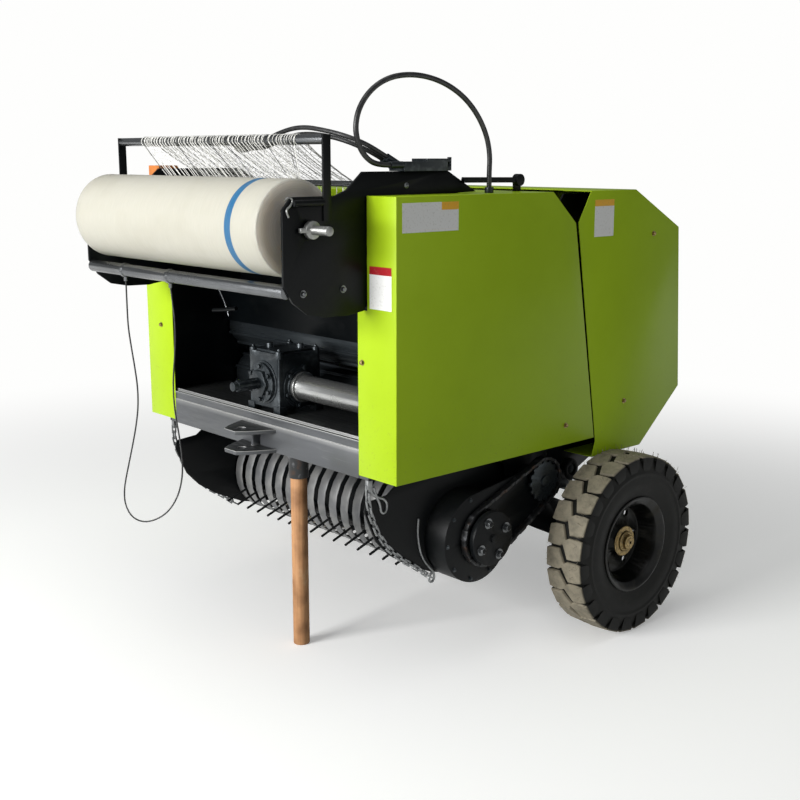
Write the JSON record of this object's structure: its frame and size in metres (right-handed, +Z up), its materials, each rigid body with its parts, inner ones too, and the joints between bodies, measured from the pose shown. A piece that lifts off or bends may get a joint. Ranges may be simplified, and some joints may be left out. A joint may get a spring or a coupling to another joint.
{
  "type": "towed round baler with net wrap",
  "caption": "Towed roller-chamber round baler: tined pickup, ribbed chamber rollers, hinged tailgate, net roll, gearbox, two wheels and a prop pole.",
  "frame": {"origin": "on the ground under the middle of the machine's plan outline, cords left out", "axes": "+Z up, -Y towards the tractor, +X the machine's left side"},
  "size_m": [1.598, 1.642, 1.7511],
  "materials": {
    "green_paint": "glossy lime green paint on sheet steel",
    "black_paint": "satin black paint on steel plate",
    "grey_paint": "worn grey paint",
    "dark_steel": "oiled dark steel",
    "bright_steel": "bare machined steel",
    "chrome_rod": "polished",
    "cast_iron": "painted casting",
    "brass": "dull",
    "tyre_rubber": "dusty tread",
    "hose_rubber": "matte",
    "cord_plastic": "matte",
    "net_plastic": "wound white netting",
    "core_board": "matte",
    "pole_wood": "rough worn wood"
  },
  "bodies": {
    "frame": {"side_wall_left": "black_paint", "side_wall_right": "black_paint", "shield_front_left": "green_paint", "shield_front_right": "green_paint", "top_cover": "green_paint", "deck_beam": "grey_paint", "hitch_clevis": "grey_paint", "prop_socket": "dark_steel", "gearbox": "cast_iron", "drive_tube": "bright_steel", "net_plate_left": "black_paint", "net_plate_right": "black_paint", "net_rods": "black_paint", "net_spindle": "bright_steel", "net_web": "net_plastic", "net_chute": "black_paint", "trip_linkage": "black_paint", "hose_block": "bright_steel", "axle": "black_paint", "hub_nuts": "brass", "lift_chains": "dark_steel", "trip_cord": "cord_plastic", "hose_loop": "hose_rubber", "feed_hose_a": "hose_rubber", "feed_hose_b": "hose_rubber", "hose_couplers": "bright_steel"},
    "tailgate": {"tailgate_walls": "black_paint", "tailgate_ties": "black_paint", "tailgate_cover": "green_paint", "tailgate_shield_left": "green_paint", "tailgate_shield_right": "green_paint"},
    "wheel_left": {"rim_left": "black_paint", "tyre_left": "tyre_rubber"},
    "wheel_right": {"rim_right": "black_paint", "tyre_right": "tyre_rubber"},
    "net_roll": {"net_roll": "net_plastic", "net_core": "core_board"},
    "pickup": {"pickup_frame": "black_paint", "pickup_bands": "grey_paint", "pickup_chain": "dark_steel"},
    "pickup_reel": {"pickup_reel": "black_paint", "reel_sprocket": "black_paint"},
    "pto_shaft": {"pto_shaft": "bright_steel"},
    "prop_pole": {"prop_pole": "pole_wood"},
    "feed_roller": {"feed_roller": "dark_steel"},
    "cylinder_barrel_left": {"cylinder_barrel_left": "black_paint"},
    "cylinder_barrel_right": {"cylinder_barrel_right": "black_paint"},
    "cylinder_rod_left": {"cylinder_rod_left": "chrome_rod"},
    "cylinder_rod_right": {"cylinder_rod_right": "chrome_rod"},
    "roller_1": {"roller_1": "dark_steel"},
    "roller_2": {"roller_2": "dark_steel"},
    "roller_3": {"roller_3": "dark_steel"},
    "roller_4": {"roller_4": "dark_steel"},
    "roller_5": {"roller_5": "dark_steel"},
    "tail_roller_1": {"tail_roller_1": "dark_steel"},
    "tail_roller_2": {"tail_roller_2": "dark_steel"},
    "tail_roller_3": {"tail_roller_3": "dark_steel"},
    "tail_roller_4": {"tail_roller_4": "dark_steel"},
    "tail_roller_5": {"tail_roller_5": "dark_steel"},
    "tail_roller_6": {"tail_roller_6": "dark_steel"}
  },
  "joints": [
    {"name": "tailgate_hinge", "type": "hinge", "parent": "frame", "child": "tailgate", "pos_m": [0, 0.2495, 1.3276], "axis": [1, 0, 0], "range_deg": [0, 70]},
    {"name": "wheel_left_spin", "type": "hinge", "parent": "frame", "child": "wheel_left", "pos_m": [0.729, 0.422, 0.295], "axis": [1, 0, 0], "continuous": true},
    {"name": "wheel_right_spin", "type": "hinge", "parent": "frame", "child": "wheel_right", "pos_m": [-0.729, 0.422, 0.295], "axis": [1, 0, 0], "continuous": true},
    {"name": "net_roll_spin", "type": "hinge", "parent": "frame", "child": "net_roll", "pos_m": [0, -0.69, 1.34], "axis": [1, 0, 0], "continuous": true},
    {"name": "pickup_lift", "type": "hinge", "parent": "frame", "child": "pickup", "pos_m": [0, 0.167, 0.521], "axis": [-1, 0, 0], "range_deg": [0, 5]},
    {"name": "reel_spin", "type": "hinge", "parent": "pickup", "child": "pickup_reel", "pos_m": [0, -0.098, 0.395], "axis": [-1, 0, 0], "continuous": true},
    {"name": "pto_spin", "type": "hinge", "parent": "frame", "child": "pto_shaft", "pos_m": [0, -0.5, 0.833], "axis": [0, 1, 0], "continuous": true},
    {"name": "prop_slide", "type": "slide", "parent": "frame", "child": "prop_pole", "axis": [0, 0, -1], "range_m": [0, 0.05]},
    {"name": "feed_roller_spin", "type": "hinge", "parent": "frame", "child": "feed_roller", "pos_m": [0, 0.167, 0.521], "axis": [-1, 0, 0], "continuous": true},
    {"name": "roller_1_spin", "type": "hinge", "parent": "frame", "child": "roller_1", "pos_m": [0, 0.15809, 1.31387], "axis": [-1, 0, 0], "continuous": true},
    {"name": "roller_2_spin", "type": "hinge", "parent": "frame", "child": "roller_2", "pos_m": [0, -0.00364, 1.24101], "axis": [-1, 0, 0], "continuous": true},
    {"name": "roller_3_spin", "type": "hinge", "parent": "frame", "child": "roller_3", "pos_m": [0, -0.12059, 1.10765], "axis": [-1, 0, 0], "continuous": true},
    {"name": "roller_4_spin", "type": "hinge", "parent": "frame", "child": "roller_4", "pos_m": [0, -0.17171, 0.9378], "axis": [-1, 0, 0], "continuous": true},
    {"name": "roller_5_spin", "type": "hinge", "parent": "frame", "child": "roller_5", "pos_m": [0, -0.14779, 0.76204], "axis": [-1, 0, 0], "continuous": true},
    {"name": "tail_roller_1_spin", "type": "hinge", "parent": "tailgate", "child": "tail_roller_1", "pos_m": [0, 0.36721, 1.30474], "axis": [-1, 0, 0], "continuous": true},
    {"name": "tail_roller_2_spin", "type": "hinge", "parent": "tailgate", "child": "tail_roller_2", "pos_m": [0, 0.54568, 1.19537], "axis": [-1, 0, 0], "continuous": true},
    {"name": "tail_roller_3_spin", "type": "hinge", "parent": "tailgate", "child": "tail_roller_3", "pos_m": [0, 0.64876, 1.01319], "axis": [-1, 0, 0], "continuous": true},
    {"name": "tail_roller_4_spin", "type": "hinge", "parent": "tailgate", "child": "tail_roller_4", "pos_m": [0, 0.65058, 0.80388], "axis": [-1, 0, 0], "continuous": true},
    {"name": "tail_roller_5_spin", "type": "hinge", "parent": "tailgate", "child": "tail_roller_5", "pos_m": [0, 0.55071, 0.61992], "axis": [-1, 0, 0], "continuous": true},
    {"name": "tail_roller_6_spin", "type": "hinge", "parent": "tailgate", "child": "tail_roller_6", "pos_m": [0, 0.37417, 0.50746], "axis": [-1, 0, 0], "continuous": true},
    {"name": "cylinder_left_swing", "type": "hinge", "parent": "frame", "child": "cylinder_barrel_left", "pos_m": [0.6, -0.069, 1.002], "axis": [1, 0, 0], "range_deg": [0, 4.89]},
    {"name": "cylinder_left_stroke", "type": "slide", "parent": "cylinder_barrel_left", "child": "cylinder_rod_left", "axis": [0, 0.8202, 0.5721], "range_m": [0, 0.0902]},
    {"name": "cylinder_right_swing", "type": "hinge", "parent": "frame", "child": "cylinder_barrel_right", "pos_m": [-0.6, -0.069, 1.002], "axis": [1, 0, 0], "range_deg": [0, 4.89]},
    {"name": "cylinder_right_stroke", "type": "slide", "parent": "cylinder_barrel_right", "child": "cylinder_rod_right", "axis": [0, 0.8202, 0.5721], "range_m": [0, 0.0902]}
  ],
  "couplings": [
    {"joint": "reel_spin", "follows": "pto_spin", "ratio": 0.25},
    {"joint": "feed_roller_spin", "follows": "pto_spin", "ratio": 0.3},
    {"joint": "roller_1_spin", "follows": "pto_spin", "ratio": 0.4},
    {"joint": "roller_2_spin", "follows": "pto_spin", "ratio": 0.4},
    {"joint": "roller_3_spin", "follows": "pto_spin", "ratio": 0.4},
    {"joint": "roller_4_spin", "follows": "pto_spin", "ratio": 0.4},
    {"joint": "roller_5_spin", "follows": "pto_spin", "ratio": 0.4},
    {"joint": "tail_roller_1_spin", "follows": "pto_spin", "ratio": 0.4},
    {"joint": "tail_roller_2_spin", "follows": "pto_spin", "ratio": 0.4},
    {"joint": "tail_roller_3_spin", "follows": "pto_spin", "ratio": 0.4},
    {"joint": "tail_roller_4_spin", "follows": "pto_spin", "ratio": 0.4},
    {"joint": "tail_roller_5_spin", "follows": "pto_spin", "ratio": 0.4},
    {"joint": "tail_roller_6_spin", "follows": "pto_spin", "ratio": 0.4},
    {"joint": "cylinder_left_swing", "follows": "tailgate_hinge", "ratio": 0.0692},
    {"joint": "cylinder_left_stroke", "follows": "tailgate_hinge", "m_per_rad": 0.073392},
    {"joint": "cylinder_right_swing", "follows": "tailgate_hinge", "ratio": 0.0692},
    {"joint": "cylinder_right_stroke", "follows": "tailgate_hinge", "m_per_rad": 0.073392}
  ]
}
